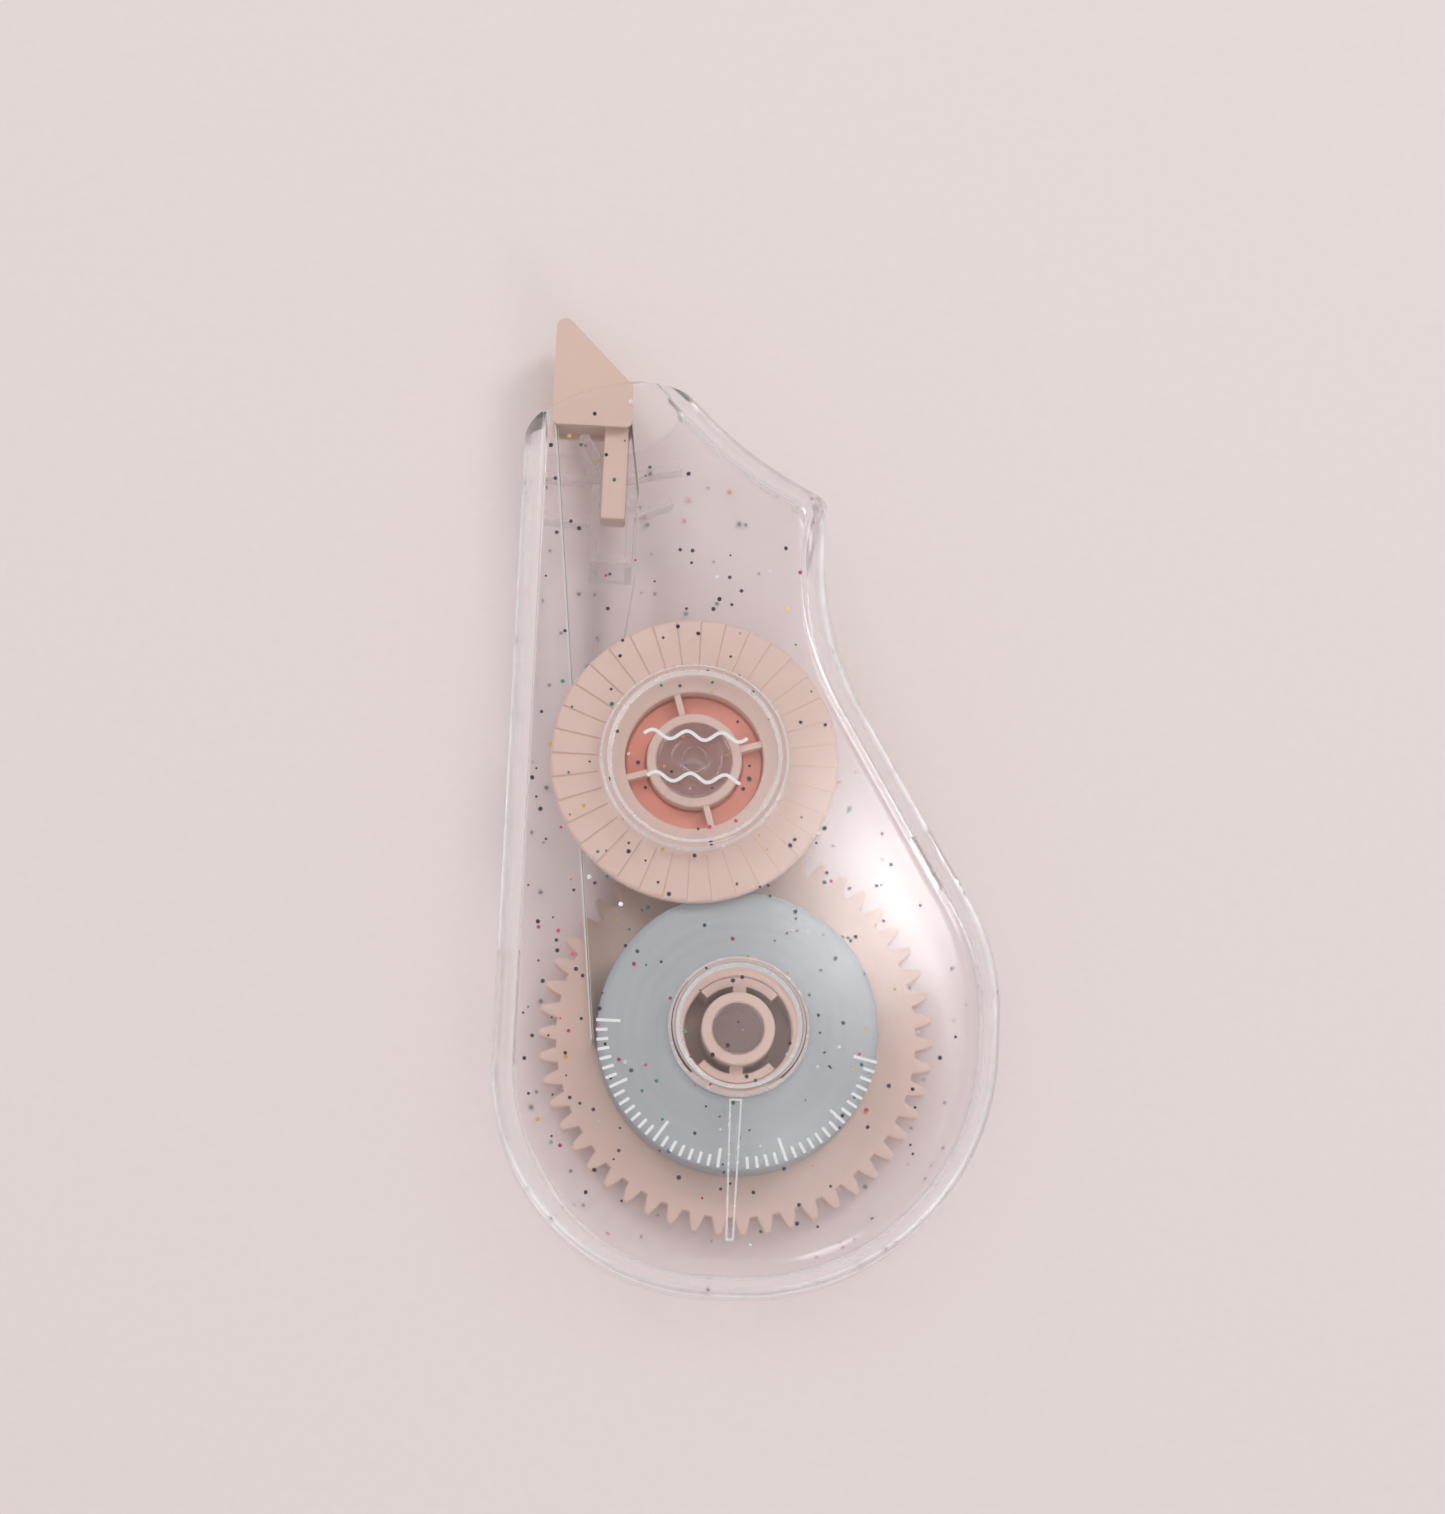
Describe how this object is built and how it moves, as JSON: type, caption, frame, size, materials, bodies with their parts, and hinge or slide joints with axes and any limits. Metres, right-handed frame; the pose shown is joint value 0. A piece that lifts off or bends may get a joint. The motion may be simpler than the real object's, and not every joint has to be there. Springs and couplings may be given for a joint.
{
  "type": "correction tape roller",
  "caption": "Hand-held correction tape roller with a clear rounded case, geared supply and take-up reels, and a wedge tip that the tape runs over.",
  "frame": {"origin": "on the back face, under the middle of the whole object's box", "axes": "+X to the right seen from the front, +Y along the body to the applicator tip, +Z out of the front face"},
  "size_m": [0.0498, 0.097, 0.0133],
  "materials": {
    "clear_case": "clear, glossy, with scattered glitter flakes moulded in",
    "pink_plastic": "satin moulded plastic",
    "coral_plastic": "satin moulded plastic",
    "tip_plastic": "satin moulded plastic",
    "tape_roll": "satin edge of a tightly wound roll",
    "liner": "thin glassine liner",
    "white_film": "matte white correction film"
  },
  "bodies": {
    "case": {"back_shell": "clear_case", "front_shell": "clear_case", "applicator_tip": "tip_plastic", "feed_liner": "liner", "white_film": "white_film", "return_liner": "liner"},
    "supply_drive": {"supply_gear": "pink_plastic", "clutch_hub": "pink_plastic"},
    "tape_reel": {"supply_core": "pink_plastic", "tape_roll": "tape_roll"},
    "takeup_reel": {"takeup_gear": "coral_plastic", "takeup_spool": "pink_plastic", "takeup_wrap": "liner"}
  },
  "joints": [
    {"name": "supply_spin", "type": "hinge", "parent": "case", "child": "supply_drive", "pos_m": [-0.0009, -0.02275, 0.0028], "axis": [0, 0, 1], "continuous": true},
    {"name": "takeup_spin", "type": "hinge", "parent": "case", "child": "takeup_reel", "pos_m": [-0.0064, 0.00368, 0.0028], "axis": [0, 0, 1], "continuous": true},
    {"name": "core_slip", "type": "hinge", "parent": "supply_drive", "child": "tape_reel", "pos_m": [-0.0009, -0.02275, 0.0066], "axis": [0, 0, 1], "continuous": true}
  ],
  "couplings": [
    {"joint": "takeup_spin", "follows": "supply_spin", "ratio": -2.2727}
  ]
}
